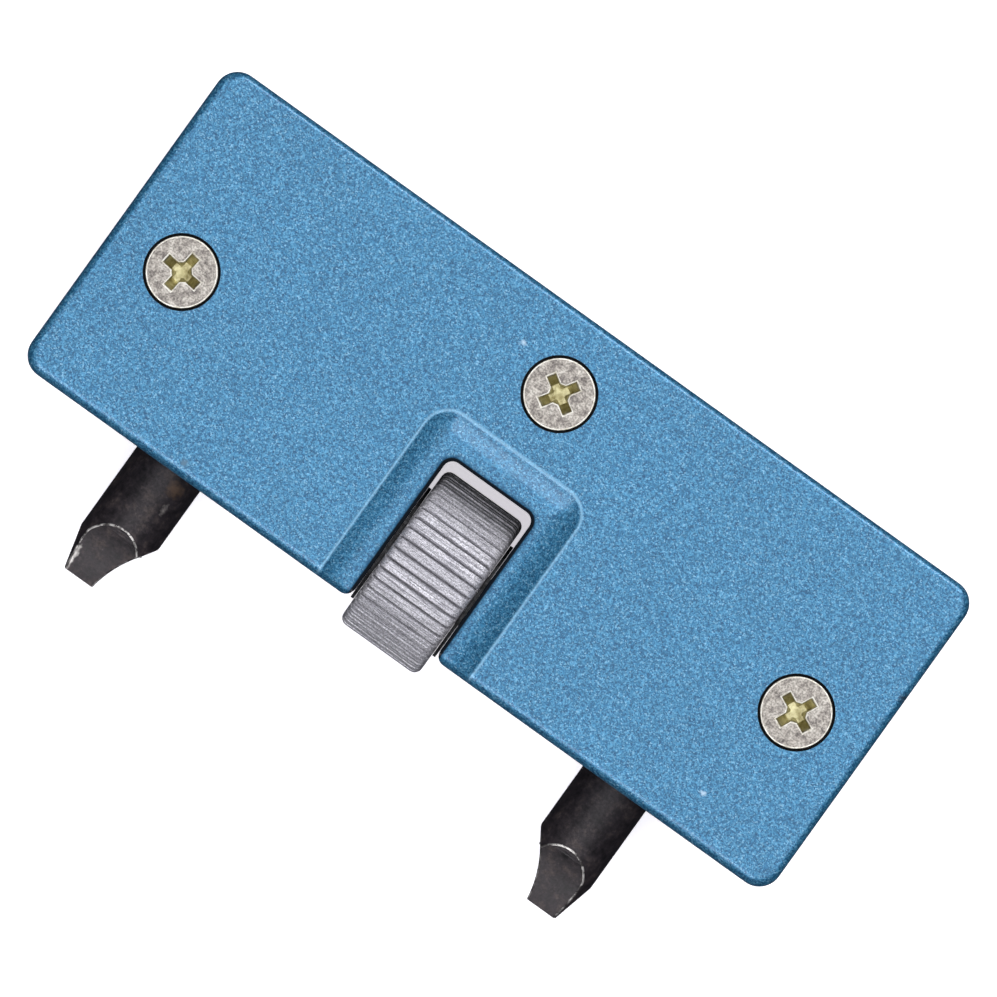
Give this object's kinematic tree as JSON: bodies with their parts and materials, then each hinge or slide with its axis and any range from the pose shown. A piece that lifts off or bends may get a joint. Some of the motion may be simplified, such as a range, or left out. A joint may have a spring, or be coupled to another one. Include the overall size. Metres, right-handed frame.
{
  "type": "case back opener",
  "caption": "Pocket opener for screw-on watch case backs: flat metal body, ridged thumb wheel in a slot, and two blade-tipped claws that move in and out together.",
  "frame": {"origin": "in the plane of the rear face, under the middle of the whole outline, which is the body and the claws together; the middle of the body itself is 6.2 mm towards +Y", "axes": "+X along the body and the spindle, to the right seen from the front; +Y across the body, away from the claws; +Z from the rear face to the front face with the screws"},
  "size_m": [0.08, 0.0444, 0.017],
  "materials": {
    "blue_paint": "metallic blue baked paint with a fine sparkle over die-cast metal",
    "wheel_nickel": "nickel-plated, straight ridges",
    "screw_zinc": "zinc-plated with a yellow passivate in the cross",
    "plain_steel": "turned and ground steel, lightly oiled",
    "carrier_steel": "milled steel",
    "brass": "turned brass",
    "black_oxide": "black oxide on hardened steel, scratched at the ground edges"
  },
  "bodies": {
    "body": {"front_cover": "blue_paint", "rear_housing": "blue_paint", "cover_screw_left": "screw_zinc", "cover_screw_centre": "screw_zinc", "cover_screw_right": "screw_zinc", "dowel_left": "plain_steel", "dowel_right": "plain_steel", "end_bush_left": "brass", "end_bush_right": "brass", "thrust_washer_left": "plain_steel", "thrust_washer_right": "plain_steel"},
    "screw_shaft": {"thumb_wheel": "wheel_nickel", "spindle": "plain_steel"},
    "left_jaw": {"carrier_left": "carrier_steel", "nut_left": "brass", "claw_left": "black_oxide", "claw_pin_left": "plain_steel"},
    "right_jaw": {"carrier_right": "carrier_steel", "nut_right": "brass", "claw_right": "black_oxide", "claw_pin_right": "plain_steel"}
  },
  "joints": [
    {"name": "left_claw_slide", "type": "slide", "parent": "body", "child": "left_jaw", "axis": [-1, 0, 0], "range_m": [-0.0105, 0.0056]},
    {"name": "right_claw_slide", "type": "slide", "parent": "body", "child": "right_jaw", "axis": [1, 0, 0], "range_m": [-0.0106, 0.0057]},
    {"name": "wheel_turn", "type": "hinge", "parent": "body", "child": "screw_shaft", "pos_m": [0, -0.0038, 0.0085], "axis": [1, 0, 0], "range_deg": [-5402, 2882]}
  ],
  "couplings": [
    {"joint": "right_claw_slide", "follows": "left_claw_slide", "ratio": 1},
    {"joint": "wheel_turn", "follows": "left_claw_slide", "rad_per_m": 8976}
  ]
}
